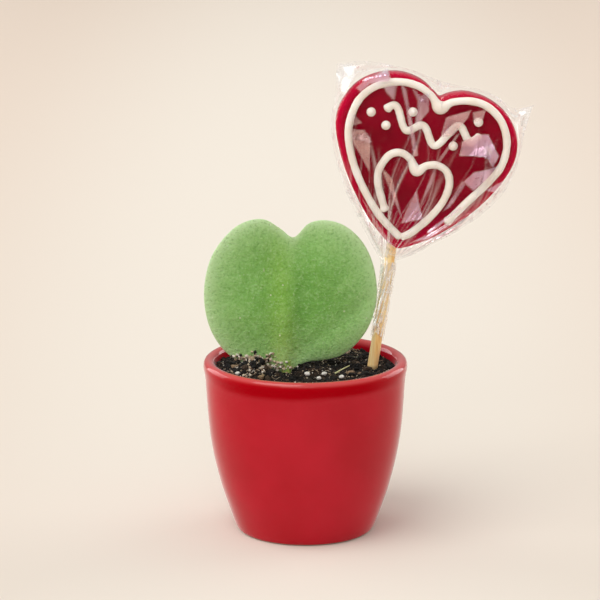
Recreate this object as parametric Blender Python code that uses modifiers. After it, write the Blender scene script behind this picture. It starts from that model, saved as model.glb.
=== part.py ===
"""A potted sweetheart hoya leaf with a wrapped heart lollipop standing in its soil.

One thick heart-shaped leaf grows out of potting mix in a glazed ceramic pot. A wooden stick is pushed into
the soil beside it and carries a heart of boiled sugar with piped icing, inside a clear film bag that is
gathered on the stick and held by tape. The pot stands on the origin, +Z is up and the front faces -Y.
"""

import math

import bmesh
import bpy
from mathutils import Matrix, Vector, noise
from mathutils.bvhtree import BVHTree

MM = 0.001
GAP = 0.3 * MM  # between pieces that rest on or in each other
SEAT_GAP = 0.37 * MM  # in a round hole, whose flats come closer than its corners

# Pot
RIM_RADIUS = 40.0 * MM
POT_HEIGHT = 68.5 * MM
RIM_THICKNESS = 4.4 * MM
WALL = 4.2 * MM
POT_FLOOR = 5.0 * MM
FLOOR_ROUNDING = 4.0 * MM
FOOT_ROUNDING = 1.2 * MM
POT_STEPS = 40
# Radius and height down the outer wall, from under the lip to above the foot, in millimetres.
OUTER_WALL = [(39.3, 60.5), (38.9, 53.0), (38.2, 44.0), (36.4, 31.5), (33.0, 17.2), (29.7, 7.6), (27.3, 1.6)]

# Soil
SOIL_LEVEL = 64.6 * MM
SOIL_RINGS = 8
SOIL_ROUGHNESS = 0.7 * MM
# Heaps against the leaf and round the stick: x, y, height and spread, in millimetres.
HEAPS = [(-23.0, -10.0, 3.6, 5.0), (1.5, -11.5, 2.6, 4.5), (-31.0, 4.0, 1.2, 5.0), (14.0, 12.0, 1.0, 9.0)]

# Leaf
LEAF_FOOT = Vector((-7.4, -6.2, 64.8)) * MM
LEAF_HALF_THICKNESS = 2.3 * MM
LEAF_LEAN = math.radians(3.0)
LEAF_MIDDLE = Vector((1.5, 31.0)) * MM
LEAF_HEIGHT = 60.0 * MM
LEAF_HALF_WIDTH = 34.0 * MM
LEAF_CUP = 2.2 * MM  # how far the sides come forward
LEAF_CREASE = 1.0 * MM
LEAF_RINGS = 12  # from its front to its back
STALK_RADIUS = 1.9 * MM
STALK_LENGTH = 16.0 * MM
STALK_IN_BLADE = 4.5 * MM
# The blade's outline from the stalk round the right lobe, the notch and the left lobe, in millimetres.
LEAF_OUTLINE = [
    (0.0, 0.0), (7.4, 3.6), (15.0, 4.7), (21.6, 6.6), (27.7, 11.7), (32.6, 19.3), (35.1, 30.0),
    (34.1, 41.0), (30.2, 50.5), (23.6, 57.2), (16.0, 59.8), (9.0, 58.2), (2.4, 54.0), (-3.0, 57.4),
    (-9.0, 60.2), (-17.0, 58.8), (-24.0, 53.2), (-29.6, 44.3), (-32.0, 32.0), (-30.6, 20.0), (-26.0, 10.6),
    (-19.0, 4.4), (-9.0, 1.2),
]

# Lollipop: the heart's frame has its origin near the candy's point and +Z towards its notch.
HEART_TIP = Vector((36.2, -1.0, 114.1)) * MM
HEART_LEAN = math.radians(14.4)
STICK_LEAN = math.radians(8.0)
STICK_RADIUS = 2.05 * MM
STICK_SIDES = 20
STICK_LENGTH = 130.0 * MM
STICK_IN_CANDY = 30.0 * MM
STICK_ENTRY = Vector((-3.6, 0.0, 0.6)) * MM  # where the stick meets the candy, in the heart's frame
CANDY_THICKNESS = 9.0 * MM
CANDY_ROUNDING = 2.2 * MM
# The candy's outline, poured a little lopsided: its point, right side, notch and left side, in millimetres.
HEART_POINT = (-0.4, -1.2)
HEART_RIGHT = [(4.6, 1.4), (12.6, 7.2), (23.2, 18.6), (30.8, 31.0), (34.6, 42.6), (33.2, 52.6), (27.0, 60.4),
               (18.4, 64.4), (9.6, 65.0), (3.4, 62.8)]
HEART_NOTCH = (0.2, 60.2)
HEART_LEFT = [(-3.4, 62.8), (-9.6, 65.6), (-17.8, 66.0), (-26.4, 62.8), (-33.0, 56.4), (-36.4, 46.6),
              (-34.8, 37.2), (-27.6, 23.8), (-16.6, 10.2), (-6.6, 1.8)]

# Icing: a line's width and height, and its routes over the candy's front, in millimetres.
ICING_WIDTH = 3.4 * MM
ICING_HEIGHT = 2.2 * MM
OUTER_LINE = [
    (-0.3, 4.0), (-9.9, 10.1), (-17.9, 17.8), (-25.1, 27.3), (-29.8, 37.0), (-31.0, 45.2), (-29.4, 53.2),
    (-24.4, 59.4), (-16.8, 62.9), (-9.4, 63.2), (-3.6, 61.0), (1.1, 57.2), (5.2, 60.4), (11.8, 62.5),
    (18.6, 62.0), (25.2, 57.8), (29.4, 50.4), (29.9, 41.8), (26.8, 34.0), (20.7, 24.1), (14.7, 13.8),
]
INNER_LINE = [
    (-11.2, 17.0), (-14.4, 22.6), (-15.4, 28.0), (-13.2, 34.2), (-9.2, 36.5), (-4.8, 35.0), (-1.4, 31.2),
    (1.9, 34.0), (5.9, 35.2), (10.1, 33.6), (12.3, 29.0), (11.6, 22.0), (8.4, 14.8), (5.0, 9.8),
]
WAVE_TURNS = 3
WAVE_STEPS = 24
WAVE_LENGTH = 38.0
WAVE_AMPLITUDE = 3.2
WAVE_HEIGHT = 51.0
WAVE_DIP = 6.0  # how far its middle hangs below its ends, beside the notch
DOTS = [(-24.0, 49.0), (-17.2, 45.4), (-8.6, 53.0), (9.8, 44.0), (16.8, 55.4), (23.2, 45.6)]
DOT_RADIUS = 1.8 * MM

# Film bag
FILM = 0.3 * MM  # thick enough to be a solid wall
FILM_SIDES = 36
NECK_RADIUS = STICK_RADIUS + GAP + FILM
NECK_LENGTH = 39.0 * MM
NECK_TOP = 7.5 * MM  # where the neck starts to open, below the candy
NECK_RINGS = 4
DROOP_LEFT = 5.6 * MM  # how far the top corners sag
DROOP_RIGHT = 3.2 * MM
DROOP_FROM = 30.0 * MM  # down from the top edge, where the sag ends
# Sections above the neck: height, left edge, right edge, front depth, back depth, and squareness.
BAG = [
    (-4.9, -7.6, 0.9, 3.3, 3.3, 2.0), (-2.0, -12.0, 5.4, 5.2, 4.8, 2.4), (3.0, -16.2, 10.8, 7.9, 5.6, 4.0),
    (10.0, -21.4, 18.6, 8.2, 5.6, 6.0), (20.0, -28.8, 27.2, 8.2, 5.6, 8.0), (30.0, -34.2, 33.2, 8.2, 5.6, 8.0),
    (40.0, -37.4, 35.8, 8.2, 5.6, 8.0), (49.0, -38.2, 36.2, 8.2, 5.6, 8.0), (58.0, -39.6, 36.4, 8.2, 5.6, 8.0),
    (64.6, -40.4, 36.6, 8.0, 5.6, 6.0), (67.0, -40.6, 36.6, 6.2, 4.8, 4.0), (68.8, -40.7, 36.4, 0.9, 0.9, 3.0),
]
TAPE = 0.2 * MM
TAPE_LENGTH = 12.0 * MM
TAPE_TOP = 8.5 * MM  # below the candy

# Loose bits on the soil: x, y and half-size, and for bark its turn in degrees.
PERLITE = [(0.7, -17.0, 1.0), (7.3, -14.5, 0.9), (5.2, -20.0, 0.8), (14.0, -17.0, 0.9), (-26.2, -15.0, 0.8)]
BARK = [(-26.5, -3.6, 2.4, 20), (-17.0, -17.5, 2.0, 75), (17.5, -9.5, 1.8, 40), (12.0, 20.0, 2.2, 15)]
BARK_THICKNESS = 0.9 * MM
STRAW = [(11.5, -12.2, 0.0), (14.0, -10.9, 1.4), (17.2, -9.9, 2.8)]  # x, y and rise from its low end
STRAW_RADIUS = 0.35 * MM
DROP_FROM = 80.0 * MM  # above the soil, where a bit starts its fall


def clear_scene():
    for obj in list(bpy.data.objects):
        bpy.data.objects.remove(obj)


def new_collection(name, hidden=False):
    made = bpy.data.collections.new(name)
    made.hide_render = hidden
    bpy.context.scene.collection.children.link(made)
    return made


def new_material(name, color, roughness, alpha=1.0):
    made = bpy.data.materials.new(name)
    made.use_nodes = True
    shader = made.node_tree.nodes["Principled BSDF"]
    shader.inputs["Base Color"].default_value = (*color, 1.0)
    shader.inputs["Roughness"].default_value = roughness
    shader.inputs["Metallic"].default_value = 0.0
    shader.inputs["Alpha"].default_value = alpha
    return made


def add(name, mesh, home, finish):
    """A smooth-shaded object of that mesh in a collection, with its material."""
    obj = bpy.data.objects.new(name, mesh)
    home.objects.link(obj)
    mesh.materials.clear()
    mesh.materials.append(finish)
    mesh.shade_smooth()
    mesh.set_sharp_from_angle(angle=math.radians(40))
    return obj


def mesh_from(name, work):
    mesh = bpy.data.meshes.new(name)
    work.to_mesh(mesh)
    work.free()
    return mesh


def baked(obj):
    """The mesh that the object's modifiers or bevel make, with its caps welded; the object itself goes."""
    bpy.context.view_layer.update()
    graph = bpy.context.evaluated_depsgraph_get()
    mesh = bpy.data.meshes.new_from_object(obj.evaluated_get(graph))
    mesh.transform(obj.matrix_world)
    name = obj.name
    bpy.data.objects.remove(obj)
    work = bmesh.new()
    work.from_mesh(mesh)
    bmesh.ops.remove_doubles(work, verts=work.verts, dist=0.001 * MM)
    return mesh_from(name, work)


def place(obj, matrix):
    """Moves the object's mesh, so that its own frame stays the pot's."""
    obj.data.transform(matrix)
    return obj


def curve_through(points, per_span, closed=False):
    """Points along a Catmull-Rom curve through the given ones."""
    points = [Vector(p) for p in points]
    count = len(points)
    made = []
    for i in range(count if closed else count - 1):
        if closed:
            a, b, c, d = (points[(i + k) % count] for k in (-1, 0, 1, 2))
        else:
            a, b, c, d = (points[min(max(i + k, 0), count - 1)] for k in (-1, 0, 1, 2))
        for k in range(per_span):
            t = k / per_span
            bend = (2 * a - 5 * b + 4 * c - d) * t**2 + (3 * b - a - 3 * c + d) * t**3
            made.append(0.5 * (2 * b + (c - a) * t + bend))
    if not closed:
        made.append(points[-1])
    return made


def turned(name, profile, home, finish, steps=POT_STEPS):
    """A solid of revolution from (radius, height) points that run up the inside and down the outside."""
    mesh = bpy.data.meshes.new(name)
    mesh.from_pydata([(r, 0, z) for r, z in profile], [(i, i + 1) for i in range(len(profile) - 1)], [])
    obj = bpy.data.objects.new(name, mesh)
    home.objects.link(obj)
    screw = obj.modifiers.new("turn", "SCREW")
    screw.steps = screw.render_steps = steps
    screw.use_merge_vertices = True
    screw.merge_threshold = 0.01 * MM
    return add(name, baked(obj), home, finish)


def bar(name, points, radius, home, finish, resolution=1):
    """A round bar along the points."""
    curve = bpy.data.curves.new(name, "CURVE")
    curve.dimensions = "3D"
    curve.bevel_depth = radius
    curve.bevel_resolution = resolution
    curve.use_fill_caps = True
    spline = curve.splines.new("POLY")
    spline.points.add(len(points) - 1)
    for target, p in zip(spline.points, points):
        target.co = (*p, 1.0)
    obj = bpy.data.objects.new(name, curve)
    home.objects.link(obj)
    return add(name, baked(obj), home, finish)


def slab(name, outline, thickness, rounding, home, finish):
    """A flat piece with rounded edges standing in X and Z, its middle at Y = 0."""
    curve = bpy.data.curves.new(name, "CURVE")
    curve.dimensions = "2D"
    curve.fill_mode = "BOTH"
    curve.extrude = thickness / 2 - rounding
    curve.bevel_depth = rounding
    curve.bevel_resolution = 2
    curve.offset = -rounding
    spline = curve.splines.new("POLY")
    spline.points.add(len(outline) - 1)
    spline.use_cyclic_u = True
    for target, p in zip(spline.points, outline):
        target.co = (p.x, p.y, 0, 1.0)
    obj = bpy.data.objects.new(name, curve)
    obj.rotation_euler.x = math.pi / 2
    home.objects.link(obj)
    return add(name, baked(obj), home, finish)


def bead(name, centre, size, home, finish, detail=2):
    """A rounded blob with its half-sizes along X, Y and Z."""
    work = bmesh.new()
    bmesh.ops.create_icosphere(work, subdivisions=detail, radius=1.0)
    blob = add(name, mesh_from(name, work), home, finish)
    return place(blob, Matrix.Translation(centre) @ Matrix.Diagonal((*size, 1)))


def cut(obj, cutter, operation="DIFFERENCE"):
    boolean = obj.modifiers.new("cut", "BOOLEAN")
    boolean.operation = operation
    boolean.object = cutter


def hidden(cutter):
    cutter.hide_render = True
    cutter.display_type = "WIRE"
    return cutter


def heart_frame():
    return Matrix.Translation(HEART_TIP) @ Matrix.Rotation(HEART_LEAN, 4, "Y")


def stick_frame():
    """Origin where the stick meets the candy, +Z up the stick."""
    return Matrix.Translation(heart_frame() @ STICK_ENTRY) @ Matrix.Rotation(STICK_LEAN, 4, "Y")


# Pot and soil


def outer_wall():
    """(radius, height) down the outside, from the lip's widest point to above the foot."""
    lip = (RIM_RADIUS / MM, (POT_HEIGHT - RIM_THICKNESS / 2) / MM)
    return [tuple(p * MM) for p in curve_through([lip, *OUTER_WALL], 2)]


def inner_wall():
    """(radius, height) up the inside, from the floor's corner to under the rim."""
    upright = [(r - WALL, z) for r, z in outer_wall() if z > POT_FLOOR + FLOOR_ROUNDING]
    upright.reverse()
    radius, height = upright[0]
    corner = []
    for k in (3, 2, 1):
        turn = math.pi / 2 * k / 3
        across = FLOOR_ROUNDING * (1 - math.cos(turn))
        corner.append((radius - across, height - (height - POT_FLOOR) * math.sin(turn)))
    return corner + upright[:-1]


def make_pot(home, finish):
    half = RIM_THICKNESS / 2
    crown = []
    for k in range(8):
        turn = math.pi * k / 8
        crown.append((RIM_RADIUS - half - half * math.cos(turn), POT_HEIGHT - half + half * math.sin(turn)))
    outside = outer_wall()
    foot_radius, foot_height = outside[-1]
    foot = []
    for k in (1, 2, 3):
        turn = math.pi / 2 * k / 3
        foot.append((foot_radius - FOOT_ROUNDING * (1 - math.cos(turn)), foot_height * (1 - math.sin(turn))))
    return turned("pot", [(0, POT_FLOOR), *inner_wall(), *crown, *outside, *foot, (0, 0)], home, finish)


def soil_height(x, y):
    height = SOIL_LEVEL + SOIL_ROUGHNESS * noise.noise(Vector((x, y, 0)) * 260)
    for heap_x, heap_y, heap_height, spread in HEAPS:
        away = math.hypot(x - heap_x * MM, y - heap_y * MM) / (spread * MM)
        height += heap_height * MM * math.exp(-away * away)
    return height


def make_soil(home, finish):
    side = [(r - GAP, z + GAP) for r, z in inner_wall() if z + GAP < SOIL_LEVEL]
    edge = side[-1][0]
    top = [(edge * k / SOIL_RINGS, SOIL_LEVEL) for k in range(SOIL_RINGS + 1)]
    side.reverse()
    soil = turned("soil", [*top, *side, (0, POT_FLOOR + GAP)], home, finish)
    for vertex in soil.data.vertices:
        inward = edge - math.hypot(vertex.co.x, vertex.co.y)
        if vertex.co.z > SOIL_LEVEL - 0.01 * MM and inward > 0.01 * MM:
            fade = min(1.0, inward / (3 * MM))
            vertex.co.z += fade * (soil_height(vertex.co.x, vertex.co.y) - SOIL_LEVEL)
    return soil


# Leaf


def leaf_point(edge, turn, grow):
    """A point on the blade; edge is where its radius meets the outline, turn is 0 in front and pi behind."""
    out = edge - LEAF_MIDDLE
    out *= 1 + grow / out.length
    across, up = LEAF_MIDDLE + out * math.sin(turn) ** 0.62
    through = math.copysign(abs(math.cos(turn)) ** 0.75, math.cos(turn))
    cup = LEAF_CUP * (across / LEAF_HALF_WIDTH) ** 2 * (0.4 + 0.6 * up / LEAF_HEIGHT)
    crease = LEAF_CREASE * math.exp(-((across / (5 * MM)) ** 2)) * max(0.0, through)
    return Vector((across, crease - cup - through * (LEAF_HALF_THICKNESS + grow), up))


def blade(name, grow, home, finish):
    """A globe pressed into the leaf's shape, larger by grow all round."""
    outline = [p * MM for p in curve_through(LEAF_OUTLINE, 2, closed=True)]
    work = bmesh.new()
    bmesh.ops.create_uvsphere(work, u_segments=len(outline), v_segments=LEAF_RINGS, radius=1.0)
    for vertex in work.verts:
        turn = math.acos(max(-1.0, min(1.0, vertex.co.z)))
        place_round = round(math.atan2(vertex.co.y, vertex.co.x) / math.tau * len(outline))
        vertex.co = leaf_point(outline[place_round % len(outline)], turn, grow)
    made = add(name, mesh_from(name, work), home, finish)
    return place(made, Matrix.Translation(LEAF_FOOT) @ Matrix.Rotation(-LEAF_LEAN, 4, "X"))


def make_leaf(soil, home, cutters, finish):
    """The blade and its stalk as one solid, standing in a close-fitting seat in the soil."""
    top = LEAF_FOOT + Vector((0, 0, STALK_IN_BLADE))
    low = LEAF_FOOT - Vector((0, 0, STALK_LENGTH))
    leaf = blade("hoya_leaf", 0.0, home, finish)
    cut(leaf, hidden(bar("stalk", [top, low], STALK_RADIUS, cutters, finish, 2)), "UNION")
    deeper = low - Vector((0, 0, GAP))
    cut(soil, hidden(blade("leaf_seat", SEAT_GAP, cutters, finish)))
    cut(soil, hidden(bar("stalk_hole", [top, deeper], STALK_RADIUS + SEAT_GAP, cutters, finish, 2)))


# Lollipop


def make_stick(home, finish):
    work = bmesh.new()
    bmesh.ops.create_cone(
        work, cap_ends=True, segments=STICK_SIDES, radius1=STICK_RADIUS, radius2=STICK_RADIUS, depth=STICK_LENGTH
    )
    stick = add("lollipop_stick", mesh_from("lollipop_stick", work), home, finish)
    return place(stick, stick_frame() @ Matrix.Translation((0, 0, STICK_IN_CANDY - STICK_LENGTH / 2)))


def cut_stick_hole(obj, low, high, cutters, finish):
    """Clears the stick's way through obj, from low to high up the stick from where it meets the candy."""
    hole = bar(f"{obj.name}_hole", [(0, 0, low), (0, 0, high)], STICK_RADIUS + SEAT_GAP, cutters, finish, 3)
    cut(obj, hidden(place(hole, stick_frame())))


def make_candy(home, cutters, finish):
    right = curve_through([HEART_POINT, *HEART_RIGHT, HEART_NOTCH], 3)
    left = curve_through([HEART_NOTCH, *HEART_LEFT, HEART_POINT], 3)
    outline = [p * MM for p in right[:-1] + left[:-1]]
    candy = slab("candy_heart", outline, CANDY_THICKNESS, CANDY_ROUNDING, home, finish)
    place(candy, heart_frame())
    cut_stick_hole(candy, -20 * MM, STICK_IN_CANDY + GAP, cutters, finish)


def on_front(x, z):
    """The middle of an icing line there, lying on the candy's front."""
    return Vector((x * MM, -(CANDY_THICKNESS / 2 + GAP + ICING_HEIGHT / 2), z * MM))


def piped(name, route, home, finish):
    """A line of icing along the route, wider than it is high."""
    flat = [(p.x * MM, 0, p.y * MM) for p in curve_through(route, 3)]
    line = bar(name, flat, ICING_WIDTH / 2, home, finish)
    place(line, Matrix.Diagonal((1, ICING_HEIGHT / ICING_WIDTH, 1, 1)))
    place(line, heart_frame() @ Matrix.Translation(on_front(0, 0)))


def make_wave(home, finish):
    """A waving line across the lobes, hanging lowest under the notch."""
    route = []
    for k in range(WAVE_STEPS + 1):
        share = k / WAVE_STEPS
        x = (share - 0.5) * WAVE_LENGTH
        dip = WAVE_DIP * math.exp(-((4 * share - 2) ** 2))
        route.append((x, WAVE_HEIGHT - dip + WAVE_AMPLITUDE * math.sin(math.tau * WAVE_TURNS * share)))
    piped("icing_wave", route, home, finish)


def make_dots(home, finish):
    for k, (x, z) in enumerate(DOTS):
        size = (DOT_RADIUS, ICING_HEIGHT / 2, DOT_RADIUS)
        place(bead(f"icing_dot_{k + 1}", on_front(x, z), size, home, finish), heart_frame())


def bag_ring(section, top):
    """One section of the bag, its corners sagging near the top edge."""
    height, left, right, front, back, square = section
    share = max(0.0, 1 - (top - height) / DROOP_FROM) ** 1.5
    ring = []
    for k in range(FILM_SIDES):
        turn = math.tau * (k + 0.5) / FILM_SIDES
        across = math.copysign(abs(math.cos(turn)) ** (2 / square), math.cos(turn))
        deep = math.copysign(abs(math.sin(turn)) ** (2 / square), math.sin(turn))
        sag = share * (DROOP_LEFT if across < 0 else DROOP_RIGHT) * abs(across) ** 2.5
        x = (left + right) / 2 + across * (right - left) / 2
        ring.append(Vector((x, deep * (back if deep > 0 else front), height - sag)))
    return ring


def make_bag(home, finish):
    """Clear film over the candy, gathered on the stick, with its only opening round the stick."""
    down = heart_frame().inverted().to_3x3() @ stick_frame().to_3x3() @ Vector((0, 0, -1))
    sections = []
    for k in range(NECK_RINGS):
        below = NECK_LENGTH + (NECK_TOP - NECK_LENGTH) * k / (NECK_RINGS - 1)
        along = STICK_ENTRY + down * below
        sections.append((along.z, along.x - NECK_RADIUS, along.x + NECK_RADIUS, NECK_RADIUS, NECK_RADIUS, 2.0))
    sections += [(*(v * MM for v in section[:5]), section[5]) for section in BAG]
    work = bmesh.new()
    loops = [[work.verts.new(p) for p in bag_ring(section, sections[-1][0])] for section in sections]
    for low, high in zip(loops, loops[1:]):
        for i in range(FILM_SIDES):
            k = (i + 1) % FILM_SIDES
            work.faces.new((low[i], low[k], high[k], high[i]))
    seam = loops[-1]
    for i in range(FILM_SIDES // 2 - 1):
        work.faces.new((seam[i], seam[i + 1], seam[-2 - i], seam[-1 - i]))
    bag = place(add("film_bag", mesh_from("film_bag", work), home, finish), heart_frame())
    wall = bag.modifiers.new("wall", "SOLIDIFY")
    wall.thickness = FILM
    wall.offset = -1.0


def make_tape(home, finish):
    inside = NECK_RADIUS + GAP
    low = -TAPE_TOP - TAPE_LENGTH
    profile = [(inside, low), (inside, -TAPE_TOP), (inside + TAPE, -TAPE_TOP), (inside + TAPE, low), (inside, low)]
    place(turned("tape", profile, home, finish, FILM_SIDES), stick_frame())


# Loose bits on the soil


def drop(bit, ground):
    """Lowers the bit from above until it lies just over the soil."""
    falls = [ground.ray_cast(vertex.co, Vector((0, 0, -1)))[3] for vertex in bit.data.vertices]
    place(bit, Matrix.Translation((0, 0, GAP - min(falls))))


def make_perlite(ground, home, finish):
    for k, (x, y, half) in enumerate(PERLITE):
        size = Vector((1.15, 1.0, 0.85)) * half * MM
        drop(bead(f"perlite_{k + 1}", Vector((x * MM, y * MM, DROP_FROM)), size, home, finish, detail=1), ground)


def make_bark(ground, home, finish):
    for k, (x, y, half, turn) in enumerate(BARK):
        work = bmesh.new()
        bmesh.ops.create_cube(work, size=2.0)
        for vertex in work.verts:
            vertex.co *= 1 + 0.25 * noise.noise(vertex.co * 1.7 + Vector((k, 0, 0)))
        chip = add(f"bark_chip_{k + 1}", mesh_from("chip", work), home, finish)
        spin = Matrix.Translation((x * MM, y * MM, DROP_FROM)) @ Matrix.Rotation(math.radians(turn), 4, "Z")
        place(chip, spin @ Matrix.Diagonal((0.9 * half * MM, 0.5 * half * MM, BARK_THICKNESS / 2, 1)))
        drop(chip, ground)


def make_straw(ground, home, finish):
    route = [Vector((x * MM, y * MM, DROP_FROM + rise * MM)) for x, y, rise in STRAW]
    drop(bar("straw", curve_through(route, 3), STRAW_RADIUS, home, finish), ground)


def main():
    clear_scene()
    plant = new_collection("potted_hoya")
    cutters = new_collection("cutters", hidden=True)
    glaze = new_material("red_glaze", (0.46, 0.012, 0.02), 0.12)
    earth = new_material("potting_soil", (0.035, 0.022, 0.015), 0.95)
    green = new_material("leaf_green", (0.16, 0.33, 0.07), 0.6)
    wood = new_material("stick_wood", (0.68, 0.47, 0.24), 0.6)
    sugar = new_material("red_sugar", (0.28, 0.004, 0.02), 0.08)
    cream = new_material("cream_icing", (0.83, 0.74, 0.62), 0.4)

    make_pot(plant, glaze)
    soil = make_soil(plant, earth)
    make_leaf(soil, plant, cutters, green)
    cut_stick_hole(soil, STICK_IN_CANDY - STICK_LENGTH - GAP, 0, cutters, earth)
    make_stick(plant, wood)
    make_candy(plant, cutters, sugar)
    piped("icing_outline", OUTER_LINE, plant, cream)
    piped("icing_inner_heart", INNER_LINE, plant, cream)
    make_wave(plant, cream)
    make_dots(plant, cream)
    make_bag(plant, new_material("clear_film", (0.95, 0.95, 0.95), 0.08, alpha=0.25))
    make_tape(plant, new_material("clear_tape", (0.93, 0.92, 0.9), 0.15, alpha=0.3))
    ground = BVHTree.FromPolygons([v.co for v in soil.data.vertices], [p.vertices for p in soil.data.polygons])
    make_perlite(ground, plant, new_material("perlite", (0.8, 0.78, 0.73), 0.9))
    make_bark(ground, plant, new_material("bark", (0.28, 0.17, 0.09), 0.9))
    make_straw(ground, plant, new_material("straw", (0.55, 0.56, 0.24), 0.7))


main()
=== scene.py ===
import math
import random
from contextlib import contextmanager

import bmesh
import bpy
import numpy as np
from mathutils import Matrix, Vector, noise
from mathutils.bvhtree import BVHTree
from mathutils.geometry import delaunay_2d_cdt


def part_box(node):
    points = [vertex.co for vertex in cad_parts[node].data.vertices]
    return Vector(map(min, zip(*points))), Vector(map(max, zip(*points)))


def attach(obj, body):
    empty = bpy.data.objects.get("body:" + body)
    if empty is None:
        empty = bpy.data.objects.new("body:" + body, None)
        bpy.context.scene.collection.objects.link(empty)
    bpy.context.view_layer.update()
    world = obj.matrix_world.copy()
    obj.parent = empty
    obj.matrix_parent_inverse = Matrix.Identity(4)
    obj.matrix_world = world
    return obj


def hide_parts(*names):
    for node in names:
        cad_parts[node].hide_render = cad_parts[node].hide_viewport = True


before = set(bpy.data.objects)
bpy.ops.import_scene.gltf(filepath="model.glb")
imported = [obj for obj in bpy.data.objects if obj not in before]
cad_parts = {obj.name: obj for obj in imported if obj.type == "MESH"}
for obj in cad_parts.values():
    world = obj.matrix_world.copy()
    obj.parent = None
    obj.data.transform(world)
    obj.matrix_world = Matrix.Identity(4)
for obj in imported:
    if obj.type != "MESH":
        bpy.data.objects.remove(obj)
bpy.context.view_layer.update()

MM = 0.001
UP = Vector((0, 0, 1))

# Camera and light
LOOK_AT = Vector((-2.1, 0.0, 92.0)) * MM
CAMERA_DISTANCE = 1250.0 * MM
CAMERA_HEIGHT = math.radians(13.5)
CAMERA_LENS = 192.3
FLOOR_SIZE = 12.0

# Pot: (radius, height) from the recess under the foot up the outside, over the lip and down to its floor.
POT_SIDES = 64
POT_PROFILE = [
    (20.5, 0.9), (22.4, 0.85), (23.2, 0.15), (24.0, 0.0), (25.9, 0.0), (26.9, 0.45), (27.5, 1.7),
    (28.5, 4.2), (29.7, 7.6), (31.2, 11.8), (33.05, 17.2), (34.9, 24.2), (36.5, 31.5), (37.6, 38.5), (38.3, 45.0),
    (38.8, 52.0), (39.1, 58.0), (39.35, 61.6), (39.75, 63.9), (40.1, 65.7), (40.05, 67.3), (39.1, 68.5),
    (37.7, 68.75), (36.3, 68.3), (35.55, 67.0), (35.4, 65.2), (35.3, 62.0), (34.9, 55.0), (34.1, 44.0),
    (32.3, 31.5), (28.8, 17.2), (25.6, 9.6), (22.4, 5.9), (17.0, 5.0),
]
POT_WAVINESS = 0.07 * MM
# Heights over which the glaze changes, in metres; the band under the lip is painted shade and the paler lip top is a
# painted highlight
BARE_FOOT = (0.0002, 0.0007)
SHADE_BAND_START = (0.0612, 0.0640)
SHADE_BAND_END = (0.0680, 0.0669)
LIP_SHINE = (0.0655, 0.0670)
LIP_PAINTED_HIGHLIGHT = (0.0664, 0.0684)

# Soil
SOIL_LEVEL = 64.6 * MM
SOIL_RADIUS = 35.35 * MM
SOIL_RINGS = 66
SOIL_SIDES = 160
HEAPS = [(-21.5, -9.8, 6.2, 6.0), (2.5, -10.8, 3.5, 4.2), (-31.0, 4.0, 1.4, 5.0), (14.0, 12.0, 1.0, 9.0)]
HOLE = (-25.2, -10.6, -2.2, 3.1)  # like a heap: x, y, rise and spread in millimetres
CRUMBS = 9400
LUMPS = 700
STUCK_CRUMBS = 260
FIBRES = 26

# Leaf
LEAF_FOOT = Vector((-7.4, -6.2, 64.8)) * MM
LEAF_HALF_THICKNESS = 2.3
LEAF_LEAN = math.radians(3.0)
LEAF_MIDDLE = Vector((1.5, 31.0))
LEAF_HEIGHT = 60.0
LEAF_HALF_WIDTH = 34.0
LEAF_CUP = 2.2
LEAF_CREASE = 2.0
STALK_RADII = (1.4 * MM, 2.3 * MM)
STALK_ENDS = (-16.0 * MM, 5.0 * MM)
LEAF_OUTLINE = [
    (0.0, 0.0), (7.4, 3.6), (15.0, 4.7), (21.6, 6.6), (27.7, 11.7), (32.6, 19.3), (35.1, 30.0),
    (34.1, 41.0), (30.2, 50.5), (23.6, 57.2), (16.0, 59.8), (8.8, 58.6), (2.9, 53.1), (-2.4, 56.6),
    (-9.0, 60.2), (-17.0, 58.8), (-24.0, 53.2), (-29.6, 44.3), (-32.0, 32.0), (-30.6, 20.0), (-26.0, 10.6),
    (-19.0, 4.4), (-9.0, 1.2),
]

# Lollipop, in the heart's frame: origin near the candy's point, +Z towards its notch, in millimetres.
HEART_TIP = Vector((36.2, -1.0, 114.1)) * MM
HEART_LEAN = math.radians(14.4)
STICK_LEAN = math.radians(8.5)
STICK_RADIUS = 2.05
STICK_LENGTH = 130.0
STICK_IN_CANDY = 30.0
STICK_ENTRY = Vector((-2.7, 0.0, 0.6))
CANDY_THICKNESS = 9.0
CANDY_ROUNDING = 2.6
HEART_POINT = (-0.4, -1.2)
HEART_RIGHT = [(4.6, 1.4), (12.6, 7.2), (23.2, 18.6), (30.8, 31.0), (34.6, 42.6), (33.2, 52.6), (27.0, 60.4),
               (18.4, 64.4), (9.6, 65.0), (3.4, 62.8)]
HEART_NOTCH = (0.2, 60.2)
HEART_LEFT = [(-3.4, 62.8), (-9.6, 65.6), (-17.8, 66.0), (-26.4, 62.8), (-33.0, 56.4), (-36.4, 46.6),
              (-34.8, 37.2), (-27.6, 23.8), (-16.6, 10.2), (-6.6, 1.8)]

# Icing, in millimetres
ICING_WIDTH = 2.95
ICING_HEIGHT = 2.4
OUTER_BLOBS = [(1.0, 57.2, 0.75, 2.4), (14.0, 14.6, 0.4, 2.2)]  # x, z, how much fatter, and its reach
INNER_BLOBS = [(-1.7, 31.4, 0.5, 2.3), (-8.8, 12.7, 0.3, 2.0)]
WAVE_BLOBS = [(-19.0, 50.9, 0.35, 2.0), (19.0, 50.9, 0.2, 2.0)]
OUTER_LINE = [
    (-0.3, 4.0), (-9.9, 10.1), (-17.9, 17.8), (-25.1, 27.3), (-29.8, 37.0), (-31.0, 45.2), (-29.4, 53.2),
    (-24.4, 59.4), (-16.8, 62.9), (-9.4, 63.2), (-3.6, 61.0), (1.1, 57.2), (5.2, 60.4), (11.8, 62.5),
    (18.6, 62.0), (25.2, 57.8), (29.4, 50.4), (29.9, 41.8), (26.8, 34.0), (20.7, 24.1), (14.7, 13.8),
]
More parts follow.
